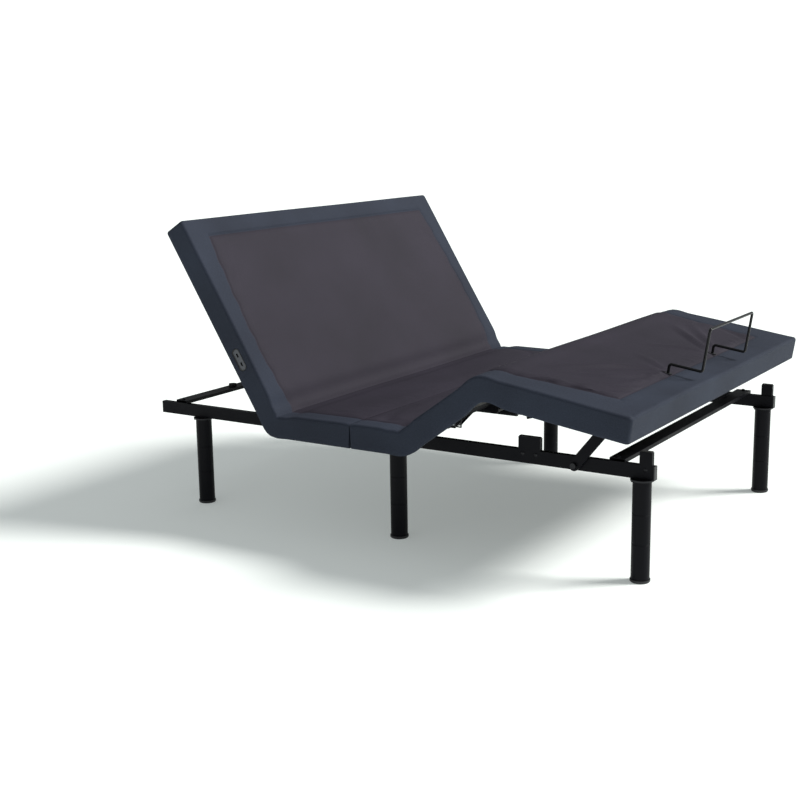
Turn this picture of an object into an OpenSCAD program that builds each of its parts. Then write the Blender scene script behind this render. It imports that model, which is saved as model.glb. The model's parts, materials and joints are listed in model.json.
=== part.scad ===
// Adjustable bed base: a steel sub-frame on six legs carries a fixed seat panel,
// a lifting head panel and a thigh panel with a hinged foot panel.
// Frame: X along the bed with the head at -X, Y across it, Z up from the floor.
// The model is drawn in its stored pose, with the head and the knees raised.

/* [Deck] */
// Width of the upholstered deck
deck_w = 1524; // [965:1:1930]
// Height of the deck's top face above the floor when flat
deck_z = 418; // [400:1:520]
// Head panel, from its hinge to its end
head_len = 738; // [600:1:900]
// Fixed seat panel, from hinge to hinge
seat_len = 489; // [400:1:620]
// Thigh panel, from its hinge to the knee
thigh_len = 333; // [300:1:420]
// Foot panel, from the knee to its end
foot_len = 484; // [470:1:620]
// Depth of the upholstered skirt
skirt_h = 80; // [60:1:95]
// Thickness of the padded skirt
skirt_t = 20; // [14:1:24]
// Thickness of the foam and fabric on top
pad_t = 10; // [6:1:14]
// Thickness of the plywood boards
board_t = 9; // [6:1:12]

/* [Stored pose] */
// Lift of the head panel
head_angle = 58.5; // [10:0.5:62]
// Lift of the thigh panel
thigh_angle = 36; // [10:0.5:38]
// Droop of the foot panel
foot_drop = 8.6; // [4:0.1:12]

/* [Sub-frame] */
// Length of the two side rails
rail_len = 1902; // [1800:1:2100]
// Height of a side rail
rail_h = 42; // [36:1:50]
// Width of a side rail
rail_w = 20; // [16:1:30]
// Width over the two side rails
rail_span = 1130; // [800:1:1180]
// Wall of the rails and tubes
tube_wall = 2; // [1.5:0.1:3]
// Width of the flat cross bars
bar_w = 50; // [40:1:60]
// Height of the flat cross bars
bar_h = 12; // [8:1:14]
// Height of the panel frame tubes
tube_h = 20; // [16:1:22]
// Width of the panel frame tubes
tube_w = 30; // [20:1:30]

/* [Legs] */
// Diameter of a leg
leg_d = 56; // [45:1:65]
// Height from the floor to the underside of the rails
leg_h = 314; // [290:1:400]
// Distance of the foot legs from the rails' foot end
foot_leg_in = 41; // [36:1:120]
// Distance of the middle legs from the foot legs
mid_leg_gap = 845; // [700:1:900]
// Distance of the head legs from the foot legs
head_leg_gap = 1674; // [1500:1:1700]
// Diameter of the leg studs
stud_d = 12; // [8:1:16]

/* [Hinges and lifts] */
// Diameter of the panel hinge pins
hinge_d = 12; // [8:1:14]
// Diameter of the lift tubes
lift_d = 26; // [20:1:28]
// Diameter of the lift rollers
roller_d = 36; // [24:1:38]
// Reach of the head lift arms
head_arm = 300; // [240:1:320]
// Radius of the head lift crank at its middle position
head_crank = 85; // [60:1:95]
// Radius of the foot lift crank at its middle position
foot_crank = 62; // [50:1:66]
// Diameter of the foot support arms' pivots
arm_pin_d = 10; // [8:1:12]

/* [Mattress retainer] */
// Width of the retainer bar
bar_span = 398; // [250:1:600]
// Height of the retainer bar above the deck
bar_rise = 165; // [80:1:220]
// Diameter of the retainer wire
wire_d = 9; // [6:1:12]

/* [Hidden] */
$fn = 48;
// Running clearance between a shaft and its bore, on the radius
run = 0.05;
// Small assembly gap between parts on different bodies
gap = 0.5;
cap_wall = 3;
ply_gap = 2;

// Panel sections are measured from the hinge line, which is this far under the top face
top_up = 30;
pad_up = top_up - pad_t;
board_up = pad_up - board_t;
tube_lo = board_up - tube_h;
skirt_lo = top_up - skirt_h;
hinge_z = deck_z - top_up;
knee_fold = (thigh_angle + foot_drop) / 2;

// The retainer wire: its sockets' distance from the knee, its low step's height and run
socket_x = 362;
step_rise = 30;
step_run = 108;

// Places along the bed: the flat deck overhangs the rails' head end by this much
head_over = 67;
head_hinge_in = head_len - head_over;
foot_reach = thigh_len * cos(thigh_angle) + foot_len * cos(foot_drop) + top_up * sin(foot_drop);
bar_reach = thigh_len * cos(thigh_angle) + (socket_x + step_run) * cos(foot_drop)
    + (top_up + bar_rise) * sin(foot_drop) + wire_d / 2;
overall = head_hinge_in + seat_len + max(foot_reach, bar_reach);
rail_x0 = -overall / 2;
rail_x1 = rail_x0 + rail_len;
head_x = rail_x0 + head_hinge_in;
thigh_x = head_x + seat_len;
knee_x = thigh_x + thigh_len * cos(thigh_angle);
knee_z = hinge_z + thigh_len * sin(thigh_angle);
rail_top = leg_h + rail_h;
rail_y = rail_span / 2 - rail_w / 2;
foot_leg_x = rail_x1 - foot_leg_in;
head_bar_x = rail_x0 + 95;
foot_bar_x = foot_leg_x - 75;
leg_x = [foot_leg_x - head_leg_gap, foot_leg_x - mid_leg_gap, foot_leg_x];
leg_y = rail_y + rail_w / 2 - 9;

// Frame tubes stand outboard of the rails and inboard of the skirt
side_y = rail_span / 2 + 55;
ear_t = 5;
ear_r = 10.5;
ear_back = 60;
tube_end = 17;
cross_in = 46;
concave = max(head_angle, thigh_angle) / 2;
board_start = pad_up * tan(concave) + ply_gap;
skirt_y = deck_w / 2 - skirt_t;
slit_x = head_x + seat_len * 0.61;

// Head lift: a full-width tube under the head panel's hinge end
head_pivot_out = 30;
head_pivot_down = 26;
roller_drop = -tube_lo + roller_d / 2 + gap;
head_pivot_x = head_x - head_pivot_out;
head_pivot_z = hinge_z - head_pivot_down;
head_arm_y = 200;
// Foot lift: a short tube hung under the seat frame behind the thigh hinge
foot_pivot_back = 34;
foot_pivot_down = 33;
foot_pivot_x = thigh_x - foot_pivot_back;
foot_pivot_z = hinge_z - foot_pivot_down;
foot_roller_along = 268;
foot_arm_y = 80;
foot_crank_y = 140;
roller_w = 20;
arm_t = 8;
arm_h = 16;
axle_d = 10;
journal_d = lift_d - 6;
bearing_t = 6;
crank_t = 6;

// The roller centres follow from the raised panels
function panel_point(angle, along, below) =
    [along * cos(angle) + below * sin(angle), along * sin(angle) - below * cos(angle)];
foot_roller_at = panel_point(thigh_angle, foot_roller_along, roller_drop);
foot_roller_x = thigh_x + foot_roller_at[0];
foot_roller_z = hinge_z + foot_roller_at[1];
foot_arm_angle = atan2(foot_roller_z - foot_pivot_z, foot_roller_x - foot_pivot_x);
foot_arm = norm([foot_roller_x - foot_pivot_x, foot_roller_z - foot_pivot_z]);
// The head arm's angle to the panel puts the roller just under the track
head_rise = (head_pivot_out * sin(head_angle) + head_pivot_down * cos(head_angle) - roller_drop)
    / head_arm;
head_arm_angle = head_angle + asin(head_rise);
head_roller_x = head_pivot_x - head_arm * cos(head_arm_angle);
head_roller_z = head_pivot_z + head_arm * sin(head_arm_angle);
// At the flat pose the arms lie almost level, so the cranks swing evenly about straight down
head_swing = head_arm_angle - asin((head_pivot_down - roller_drop) / head_arm);
foot_swing = foot_arm_angle - asin((foot_pivot_down - roller_drop) / foot_arm);
head_rod_z = head_pivot_z - head_crank;
foot_rod_z = foot_pivot_z - foot_crank;
head_rod_x = head_pivot_x - head_crank * tan(head_swing / 2);
foot_rod_x = foot_pivot_x + foot_crank * tan(foot_swing / 2);
head_crank_y = -60;
rod_d = 20;
ram_d = 34;
rod_pin_d = 10;
slot_play = 3.4;
motor_tube_x = head_x + 315;
foot_clevis_x = head_x + cross_in + 44;
clevis_gap = 34;

// Foot support arms: from the rails to brackets under the foot panel
arm_pivot_x = foot_leg_x - 208;
arm_pivot_z = leg_h + 17;
arm_along = 360.7;
arm_below = 43;
arm_top = [knee_x + panel_point(-foot_drop, arm_along, arm_below)[0],
           knee_z + panel_point(-foot_drop, arm_along, arm_below)[1]];
arm_len = norm([arm_top[0] - arm_pivot_x, arm_top[1] - arm_pivot_z]);
arm_angle = atan2(arm_top[1] - arm_pivot_z, arm_top[0] - arm_pivot_x);
arm_y = rail_span / 2 + 11;
arm_plate = 7;
arm_w = 34;
arm_play = 2.6;

// Rest posts on the rails
knee_post_x = foot_leg_x - 364;
foot_post_x = foot_leg_x + 13;
post_top = hinge_z + board_up - 3.5;
seat_cross_x = [head_x + cross_in, thigh_x - cross_in];
seat_mid_x = (seat_cross_x[0] + seat_cross_x[1]) / 2;
electric_x = (seat_mid_x + seat_cross_x[1]) / 2;
supply_x = motor_tube_x + 54;

// ---- shared shapes ----

module head_place() {
    translate([head_x, 0, hinge_z]) rotate([0, head_angle, 0]) mirror([1, 0, 0]) children();
}

module thigh_place() {
    translate([thigh_x, 0, hinge_z]) rotate([0, -thigh_angle, 0]) children();
}

module foot_place() {
    translate([knee_x, 0, knee_z]) rotate([0, foot_drop, 0]) children();
}

// A cylinder along Y, centred on y
module y_rod(x, y, z, r, len) {
    translate([x, y, z]) rotate([90, 0, 0]) cylinder(r = r, h = len, center = true);
}

module box(x0, x1, y0, y1, z0, z1) {
    translate([x0, y0, z0]) cube([x1 - x0, y1 - y0, z1 - z0]);
}

module both_sides() {
    children();
    mirror([0, 1, 0]) children();
}

// A hollow tube along X
module x_tube(x0, x1, y, z0, w, h) {
    difference() {
        box(x0, x1, y - w / 2, y + w / 2, z0, z0 + h);
        box(x0 - 1, x1 + 1, y - w / 2 + tube_wall, y + w / 2 - tube_wall,
            z0 + tube_wall, z0 + h - tube_wall);
    }
}

// A hollow tube along Y, centred on the bed
module y_tube(x, len, z0, w, h) {
    difference() {
        box(x - w / 2, x + w / 2, -len / 2, len / 2, z0, z0 + h);
        box(x - w / 2 + tube_wall, x + w / 2 - tube_wall, -len / 2 - 1, len / 2 + 1,
            z0 + tube_wall, z0 + h - tube_wall);
    }
}

// A profile in the XZ plane, extruded along Y between two sides
module side_plate(y0, y1) {
    translate([0, y1, 0]) rotate([90, 0, 0]) linear_extrude(y1 - y0) children();
}

// A hinge ear: a plate with a rounded nose at the origin and a bore for the pin
module ear(y0, y1, back) {
    side_plate(y0, y1) difference() {
        union() {
            circle(r = ear_r);
            translate([-back, tube_lo]) square([back, tube_h]);
        }
        circle(r = hinge_d / 2 + run);
    }
}

// One upholstered panel: the top pad and the skirt on the sides asked for
module padded_panel(profile, end0, end1, close_end) {
    union() {
        side_plate(-deck_w / 2, deck_w / 2) intersection() {
            polygon(profile);
            translate([end0 - 50, pad_up]) square([end1 - end0 + 100, pad_t]);
        }
        both_sides() side_plate(skirt_y, deck_w / 2) polygon(profile);
        if (close_end) {
            box(end1 - skirt_t, end1, -deck_w / 2, deck_w / 2, skirt_lo, top_up);
        }
    }
}

// Side tubes and cross tubes of a panel's welded frame, in the panel's own place
module panel_frame(x0, x1, crosses) {
    both_sides() x_tube(x0, x1, side_y, tube_lo, tube_w, tube_h);
    for (x = crosses) {
        y_tube(x, 2 * side_y - tube_w, tube_lo, tube_w, tube_h);
    }
}

// ---- sub-frame ----

module rail(side) {
    color("#16161a") x_tube(rail_x0 + cap_wall, rail_x1 - cap_wall, side * rail_y, leg_h, rail_w, rail_h);
}

module rail_end_caps() {
    color("#0e0e10") both_sides() for (end = [0, 1]) {
        x0 = end == 0 ? rail_x0 : rail_x1 - cap_wall;
        plug = end == 0 ? rail_x0 + cap_wall : rail_x1 - cap_wall - 15;
        box(x0, x0 + cap_wall, rail_y - rail_w / 2, rail_y + rail_w / 2, leg_h, rail_top);
        box(plug, plug + 15, rail_y - rail_w / 2 + tube_wall, rail_y + rail_w / 2 - tube_wall,
            leg_h + tube_wall, rail_top - tube_wall);
    }
}

module cross_bar(x) {
    color("#16161a") y_tube(x, rail_span, rail_top, bar_w, bar_h);
}

module motor_cross_tube() {
    color("#16161a") {
        y_tube(motor_tube_x, rail_span - 2 * rail_w, leg_h + 1, 30, rail_h - 2);
        clevis_plates(motor_tube_x - 15, leg_h + 1, motor_tube_x - 40, head_crank_y, head_rod_z);
    }
}

// Two plates that hang from a cross tube's face at x, z_top and hold a clevis pin
module clevis_plates(x, z_top, x_pin, y, z_pin) {
    way = sign(x_pin - x);
    for (s = [-1, 1]) {
        y0 = y + s * (clevis_gap / 2 + 2.5) - 2.5;
        side_plate(y0, y0 + 5) difference() {
            union() {
                polygon([[x - way * 30, z_top], [x, z_top], [x_pin + way * 12, z_pin + 8],
                         [x_pin - way * 6, z_pin - 13]]);
                translate([x_pin, z_pin]) circle(r = 14);
            }
            translate([x_pin, z_pin]) circle(r = rod_pin_d / 2 + run);
        }
    }
}

module rest_posts() {
    color("#141418") both_sides() {
        box(knee_post_x - 37, knee_post_x + 37, rail_y - rail_w / 2 + 4, rail_y + rail_w / 2,
            rail_top, post_top);
        box(foot_post_x - 19.5, foot_post_x + 19.5, rail_y - rail_w / 2 + 4, rail_y + rail_w / 2,
            rail_top, post_top);
    }
}

module rest_pads() {
    color("#0c0c0c") both_sides() {
        for (p = [[knee_post_x, 37], [foot_post_x, 19.5]]) {
            box(p[0] - p[1] + 2, p[0] + p[1] - 2, rail_y - rail_w / 2 + 5, rail_y + rail_w / 2 - 1,
                post_top, post_top + 3);
        }
        translate([head_bar_x, head_arm_y + 80, rail_top + bar_h])
            cylinder(d = 30, h = hinge_z + tube_lo - gap - rail_top - bar_h);
    }
}

// Bolts that hold the cross bars, the seat frame's feet and the rest posts to the rails
module frame_bolts() {
    color("#2a2a2e") both_sides() {
        for (x = [head_bar_x, foot_bar_x]) bolt_up(x, rail_top + bar_h);
        for (x = seat_cross_x) bolt_side(x, rail_top - 12);
        for (x = [knee_post_x - 22, knee_post_x + 22, foot_post_x]) bolt_side(x, rail_top - 12);
    }
}

module bolt_up(x, z) {
    translate([x, rail_y, z]) {
        cylinder(d = 13, h = 2);
        translate([0, 0, 2]) sphere_cap(12, 3);
    }
}

module bolt_side(x, z) {
    translate([x, rail_span / 2, z]) rotate([-90, 0, 0]) sphere_cap(12, 3);
}

// A low button head, d wide and h high
module sphere_cap(d, h) {
    r = (d * d / 4 + h * h) / (2 * h);
    rotate_extrude() intersection() {
        translate([0, h - r]) circle(r = r, $fn = 96);
        square([d / 2, h]);
    }
}

// ---- legs ----

seam_z = [0.375 * leg_h, 0.667 * leg_h];
glide_h = 9;
flange_t = 5;

module leg(x, side) {
    bottoms = [glide_h, seam_z[0], seam_z[1]];
    tops = [seam_z[0], seam_z[1], leg_h - flange_t];
    color("#18181c") translate([x, side * leg_y, 0]) for (i = [0, 1, 2]) {
        leg_section(bottoms[i], tops[i]);
    }
}

// One screwed section of a leg: a capped tube with a groove at its top edge
module leg_section(z0, z1) {
    rotate_extrude() difference() {
        polygon([[0, z0], [leg_d / 2, z0], [leg_d / 2, z1 - 1.2], [leg_d / 2 - 1.2, z1], [0, z1]]);
        translate([0, z0 + 6]) square([leg_d / 2 - 3, z1 - z0 - 12]);
        translate([0, z0]) square([stud_d / 2, 6]);
        translate([0, z1 - 6]) square([stud_d / 2, 6]);
    }
}

// Round plates under the rails with the threaded studs that join the leg sections
module leg_studs() {
    color("#2b2b30") for (x = leg_x, side = [-1, 1]) translate([x, side * leg_y, 0]) {
        union() {
            translate([0, 0, leg_h - flange_t]) cylinder(d = leg_d + 14, h = flange_t);
            translate([0, 0, leg_h - flange_t - 24]) cylinder(d = stud_d, h = 24 + flange_t);
        }
        for (z = seam_z) translate([0, 0, z - 18]) cylinder(d = stud_d, h = 36);
        for (a = [45, 225]) rotate([0, 0, a]) translate([leg_d / 2 + 3.7, 0, leg_h - flange_t - 3])
            cylinder(d = 6, h = 3);
    }
}

module leg_glides() {
    color("#0d0d0f") for (x = leg_x, side = [-1, 1]) translate([x, side * leg_y, 0]) {
        rotate_extrude() polygon([[0, 0], [leg_d / 2, 0], [leg_d / 2 + 2.5, 3],
            [leg_d / 2 + 2.5, glide_h], [0, glide_h]]);
        translate([0, 0, glide_h]) cylinder(d = stud_d, h = 16);
    }
}

// ---- seat ----

module seat_frame() {
    color("#1a1a1e") {
        translate([0, 0, hinge_z]) {
            panel_frame(head_x + tube_end, thigh_x - tube_end, concat(seat_cross_x, [seat_mid_x]));
            both_sides() {
                ear_y = side_y + tube_w / 2;
                translate([head_x, 0, 0]) mirror([1, 0, 0]) ear(ear_y, ear_y + ear_t, ear_back);
                translate([thigh_x, 0, 0]) ear(ear_y, ear_y + ear_t, ear_back);
            }
        }
        clevis_plates(seat_cross_x[0] + 15, hinge_z + tube_lo, foot_clevis_x, foot_crank_y, foot_rod_z);
        for (x = seat_cross_x, side = [-1, 1]) {
            box(x - 15, x + 15, side * rail_y - 8, side * rail_y + 8, rail_top, hinge_z + tube_lo);
        }
    }
}

module seat_board() {
    color("#b08a5c") translate([0, 0, hinge_z])
        box(head_x + board_start, thigh_x - board_start, -skirt_y + gap, skirt_y - gap, board_up, pad_up);
}

// The seat's outline leans back above the hinge line so that the raised panels clear it
function seat_edge(x, way, fold) =
    [[x + way * gap, skirt_lo], [x + way * gap, 0], [x + way * (top_up * tan(fold) + 2), top_up]];

module seat_pad(x0, x1, start, finish) {
    color("#3a3742") translate([0, 0, hinge_z])
        padded_panel(concat(start, [for (i = [2:-1:0]) finish[i]]), x0, x1, false);
}

module seat_pad_head_side() {
    seat_pad(head_x, slit_x, seat_edge(head_x, 1, head_angle / 2), straight_edge(slit_x - 1));
}

module seat_pad_foot_side() {
    seat_pad(slit_x, thigh_x, straight_edge(slit_x + 1), seat_edge(thigh_x, -1, thigh_angle / 2));
}

function straight_edge(x) = [[x, skirt_lo], [x, 0], [x, top_up]];

module hinge_pin(x, z) {
    both_sides() {
        inner = side_y - tube_w / 2 - ear_t - 2;
        outer = side_y + tube_w / 2 + ear_t + 1;
        y_rod(x, (inner + outer) / 2, z, hinge_d / 2, outer - inner);
        y_rod(x, outer + 1.5, z, hinge_d / 2 + 3, 3);
        y_rod(x, inner - 1, z, hinge_d / 2 + 3, 2);
    }
}

module seat_hinge_pins() {
    color("#8d8f94") {
        hinge_pin(head_x, hinge_z);
        hinge_pin(thigh_x, hinge_z);
    }
}

// ---- head panel ----

track_from = 230;
track_to = 360;

module head_frame() {
    bumper_at = head_x - head_bar_x;
    color("#1a1a1e") head_place() {
        panel_frame(tube_end, head_len - skirt_t - 2, [90, 200, 392, bumper_at, head_len - 50]);
        both_sides() {
            translate([0, side_y - tube_w / 2 - ear_t, 0]) mirror([1, 0, 0]) ear(0, ear_t, ear_back);
            roller_track(track_from, track_to + 15, head_arm_y);
        }
    }
}

// A strip that the lift roller rolls on, carried by a channel under the board
module roller_track(x0, x1, y) {
    difference() {
        box(x0, x1, y - 18, y + 18, tube_lo, board_up);
        box(x0 - 1, x1 + 1, y - 15, y + 15, tube_lo + 3, board_up + 1);
    }
}

module head_board() {
    color("#b08a5c") head_place()
        box(board_start, head_len - skirt_t - 1, -skirt_y + gap, skirt_y - gap, board_up, pad_up);
}

module head_pad() {
    color("#3a3742") head_place() difference() {
        padded_panel([[gap, skirt_lo], [gap, 0], [top_up * tan(head_angle / 2) + 2, top_up],
            [head_len, top_up], [head_len, skirt_lo]], 0, head_len, true);
        usb_pocket(0.5);
    }
}

// The port housing sits in a pocket in the head panel's near skirt
usb_at = 238;
module usb_pocket(play) {
    box(usb_at - 38 - play, usb_at + 38 + play, -deck_w / 2 - 1, -deck_w / 2 + 12 + play,
        top_up - 58 - play, top_up - 28 + play);
}

module usb_port() {
    color("#101012") head_place() difference() {
        box(usb_at - 38, usb_at + 38, -deck_w / 2 + 0.5, -deck_w / 2 + 12, top_up - 58, top_up - 28);
        for (x = [-16, 10]) {
            box(usb_at + x, usb_at + x + 14, -deck_w / 2 - 1, -deck_w / 2 + 6, top_up - 46, top_up - 40);
        }
    }
}

// ---- thigh and foot panels ----

module thigh_frame() {
    color("#1a1a1e") thigh_place() {
        panel_frame(tube_end, thigh_len - tube_end, [150]);
        both_sides() {
            translate([0, side_y - tube_w / 2 - ear_t, 0]) mirror([1, 0, 0]) ear(0, ear_t, ear_back);
            translate([thigh_len, 0, 0])
                ear(side_y + tube_w / 2, side_y + tube_w / 2 + ear_t, ear_back);
            roller_track(165, thigh_len - tube_end, foot_arm_y);
        }
    }
}

module thigh_board() {
    color("#b08a5c") thigh_place()
        box(board_start, thigh_len - ply_gap, -skirt_y + gap, skirt_y - gap, board_up, pad_up);
}

knee_cut = -skirt_lo * tan(knee_fold) + 1;

module thigh_pad() {
    color("#3a3742") thigh_place() padded_panel([[gap, skirt_lo], [gap, 0],
        [top_up * tan(thigh_angle / 2) + 2, top_up], [thigh_len - gap, top_up],
        [thigh_len - gap, 0], [thigh_len - knee_cut, skirt_lo]], 0, thigh_len, false);
}

module knee_hinge_pins() {
    color("#8d8f94") hinge_pin(knee_x, knee_z);
}

module foot_frame() {
    color("#1a1a1e") foot_place() {
        panel_frame(tube_end, foot_len - skirt_t - 2, [95, 290, foot_len - 50]);
        both_sides() {
            translate([0, side_y - tube_w / 2 - ear_t, 0]) mirror([1, 0, 0]) ear(0, ear_t, ear_back);
            arm_bracket();
        }
    }
}

// The plate that holds the top of a foot support arm
module arm_bracket() {
    y0 = arm_y + arm_plate / 2 + 3;
    union() {
        side_plate(y0, y0 + 5) difference() {
            union() {
                translate([arm_along, -arm_below]) circle(r = 13);
                translate([arm_along - 13, -arm_below]) square([26, arm_below + tube_lo]);
                translate([arm_along - 30, tube_lo]) square([60, tube_h]);
            }
            translate([arm_along, -arm_below]) circle(r = arm_pin_d / 2 + run);
        }
        box(arm_along - 30, arm_along + 30, y0 + 4, side_y - tube_w / 2 + 0.01,
            board_up - 4, board_up);
    }
}

module foot_board() {
    color("#b08a5c") foot_place()
        box(ply_gap, foot_len - skirt_t - 1, -skirt_y + gap, skirt_y - gap, board_up, pad_up);
}

module foot_pad() {
    color("#3a3742") foot_place() difference() {
        padded_panel([[knee_cut, skirt_lo], [gap, 0], [gap, top_up], [foot_len, top_up],
            [foot_len, skirt_lo]], 0, foot_len, true);
        both_sides() translate([socket_x, bar_span / 2, 0]) cylinder(d = 26, h = 60);
    }
}

// ---- mattress retainer ----

module retainer_sockets() {
    color("#101012") foot_place() both_sides() translate([socket_x, bar_span / 2, pad_up]) difference() {
        cylinder(d = 25, h = pad_t + 1);
        translate([0, 0, 2]) cylinder(d = wire_d + 0.2, h = pad_t + 2);
    }
}

// The bent wire: up out of each socket, along towards the foot, then up to the top bar
module retainer_bar() {
    r = wire_d / 2;
    y = bar_span / 2;
    base = pad_up + 2.5;
    step = top_up + step_rise;
    high = top_up + bar_rise;
    color("#0b0b0d") foot_place() union() {
        both_sides() {
            translate([socket_x, y, base]) cylinder(r = r, h = step - base);
            translate([socket_x, y, step]) sphere(r = r);
            translate([socket_x, y, step]) rotate([0, 90, 0]) cylinder(r = r, h = step_run);
            translate([socket_x + step_run, y, step]) sphere(r = r);
            translate([socket_x + step_run, y, step]) cylinder(r = r, h = high - step);
            translate([socket_x + step_run, y, high]) sphere(r = r);
        }
        y_rod(socket_x + step_run, 0, high, r, bar_span);
    }
}

// ---- foot support arms ----

module foot_arm(side) {
    color("#16161a") translate([arm_pivot_x, side * arm_y, arm_pivot_z]) rotate([0, -arm_angle, 0])
        side_plate(-arm_plate / 2, arm_plate / 2) difference() {
            union() {
                circle(d = arm_w);
                translate([arm_len, 0]) circle(d = arm_w);
                translate([0, -arm_w / 2]) square([arm_len, arm_w]);
            }
            circle(d = arm_pin_d + 2 * run);
            translate([arm_len, 0]) circle(d = arm_pin_d + 2 * arm_play);
        }
}

module arm_pivot_bolts() {
    color("#2a2a2e") both_sides() {
        outer = arm_y + arm_plate / 2 + 0.6;
        y_rod(arm_pivot_x, (rail_span / 2 + outer) / 2, arm_pivot_z, arm_pin_d / 2, outer - rail_span / 2);
        y_rod(arm_pivot_x, rail_span / 2 + 3.3, arm_pivot_z, 10, 6.6);
        y_rod(arm_pivot_x, outer + 4, arm_pivot_z, 9, 8);
    }
}

module arm_top_bolts() {
    inner = arm_y - arm_plate / 2 - 1.5;
    outer = arm_y + arm_plate / 2 + 8;
    color("#2a2a2e") foot_place() both_sides() {
        y_rod(arm_along, (inner + outer) / 2, -arm_below, arm_pin_d / 2, outer - inner);
        y_rod(arm_along, inner - 2, -arm_below, 9, 4);
        y_rod(arm_along, outer + 2.5, -arm_below, 8, 5);
    }
}

// ---- lifts ----

// A lift tube with its journals, arms and slotted crank, drawn with the arms along local +X
module lift_tube(len0, len1, arms, reach, crank, crank_y, crank_angle, swing) {
    difference() {
        union() {
            y_rod(0, (len0 + len1) / 2, 0, lift_d / 2, len1 - len0);
            y_rod(0, (len0 + len1) / 2, 0, journal_d / 2, len1 - len0 + 2 * bearing_t + 3);
            for (y = arms) lift_arm(y, reach);
            rotate([0, crank_angle, 0]) crank_plates(crank_y, crank, swing);
        }
        for (y = arms) y_rod(reach, y, 0, axle_d / 2, 60);
    }
}

// A pair of flat arms either side of a roller
module lift_arm(y, reach) {
    for (s = [-1, 1]) {
        y0 = y + s * (roller_w / 2 + 1 + arm_t / 2) - arm_t / 2;
        side_plate(y0, y0 + arm_t) union() {
            translate([0, -arm_h / 2]) square([reach, arm_h]);
            translate([reach, 0]) circle(r = arm_h / 2);
        }
    }
}

// Two plates hanging down with a slot for the ram's pin, which sweeps as the tube turns
module crank_plates(y, crank, swing) {
    slot_end = crank / cos(swing / 2);
    slot_r = rod_pin_d / 2 + slot_play;
    for (s = [-1, 1]) {
        y0 = y + s * (clevis_gap / 2 - 5 + crank_t / 2) - crank_t / 2;
        side_plate(y0, y0 + crank_t) difference() {
            translate([-14, -slot_end - slot_r - 7]) square([28, slot_end + slot_r + 7]);
            for (z = [crank - 1, slot_end + 1]) translate([0, -z]) circle(r = slot_r);
            translate([-slot_r, -slot_end - 1]) square([2 * slot_r, slot_end - crank + 2]);
        }
    }
}

head_tube_end = rail_span / 2 - rail_w - bearing_t - 2;

module head_lift_tube() {
    color("#1a1a1e") translate([head_pivot_x, 0, head_pivot_z]) mirror([1, 0, 0])
        rotate([0, -head_arm_angle, 0])
        lift_tube(-head_tube_end, head_tube_end, [-head_arm_y, head_arm_y], head_arm, head_crank,
            head_crank_y, head_arm_angle - head_swing / 2, head_swing);
}

foot_tube_end = [-foot_arm_y - 22, foot_crank_y + 22];

module foot_lift_tube() {
    color("#1a1a1e") translate([foot_pivot_x, 0, foot_pivot_z]) rotate([0, -foot_arm_angle, 0])
        lift_tube(foot_tube_end[0], foot_tube_end[1], [-foot_arm_y, foot_arm_y], foot_arm, foot_crank,
            foot_crank_y, foot_arm_angle - foot_swing / 2, foot_swing);
}

// Bearing plates bolted to the rails' inner faces
module head_lift_bearings() {
    y0 = head_tube_end + 1;
    color("#222226") both_sides() {
        side_plate(y0, y0 + bearing_t) difference() {
            union() {
                translate([head_pivot_x, head_pivot_z]) circle(r = lift_d / 2 + 5);
                translate([head_pivot_x - 30, leg_h + 4]) square([60, head_pivot_z - leg_h - 4]);
            }
            translate([head_pivot_x, head_pivot_z]) circle(r = journal_d / 2 + run);
        }
        box(head_pivot_x - 30, head_pivot_x - 18, y0 + bearing_t - 0.01, rail_span / 2 - rail_w,
            leg_h + 4, head_pivot_z - 14);
        box(head_pivot_x + 18, head_pivot_x + 30, y0 + bearing_t - 0.01, rail_span / 2 - rail_w,
            leg_h + 4, head_pivot_z - 14);
    }
}

// Bearing plates that hang from the seat frame's foot-end cross tube
module foot_lift_bearings() {
    z_top = hinge_z + tube_lo;
    color("#222226") for (y0 = [foot_tube_end[0] - 1 - bearing_t, foot_tube_end[1] + 1]) {
        side_plate(y0, y0 + bearing_t) difference() {
            union() {
                translate([foot_pivot_x, foot_pivot_z]) circle(r = lift_d / 2 + 3);
                polygon([[seat_cross_x[1] - 15, z_top], [seat_cross_x[1] + 15, z_top],
                    [foot_pivot_x + 14, foot_pivot_z + 8], [foot_pivot_x - 14, foot_pivot_z - 8],
                    [seat_cross_x[1] - 15, foot_pivot_z]]);
            }
            translate([foot_pivot_x, foot_pivot_z]) circle(r = journal_d / 2 + run);
        }
    }
}

module roller(x, y, z) {
    color("#d8d8d4") difference() {
        y_rod(x, y, z, roller_d / 2, roller_w);
        y_rod(x, y, z, axle_d / 2 + run, roller_w + 2);
    }
}

module roller_axle(x, y, z) {
    len = roller_w + 2 + 2 * arm_t + 4;
    y_rod(x, y, z, axle_d / 2, len);
    for (s = [-1, 1]) y_rod(x, y + s * (len / 2 - 0.5), z, axle_d / 2 + 3, 2);
}

// ---- rams and motors ----

// A ram lies along X: way is the side its rod points to
module ram_tube(x_end, x_motor, y, z, way) {
    rotate_about_x(y, z) translate([min(x_end, x_motor), 0, 0]) rotate([0, 90, 0]) difference() {
        cylinder(d = ram_d, h = abs(x_motor - x_end));
        translate([0, 0, way > 0 ? 6 : -1]) cylinder(d = rod_d + 2 * gap, h = abs(x_motor - x_end) - 5);
    }
}

module rotate_about_x(y, z) {
    translate([0, y, z]) children();
}

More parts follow.
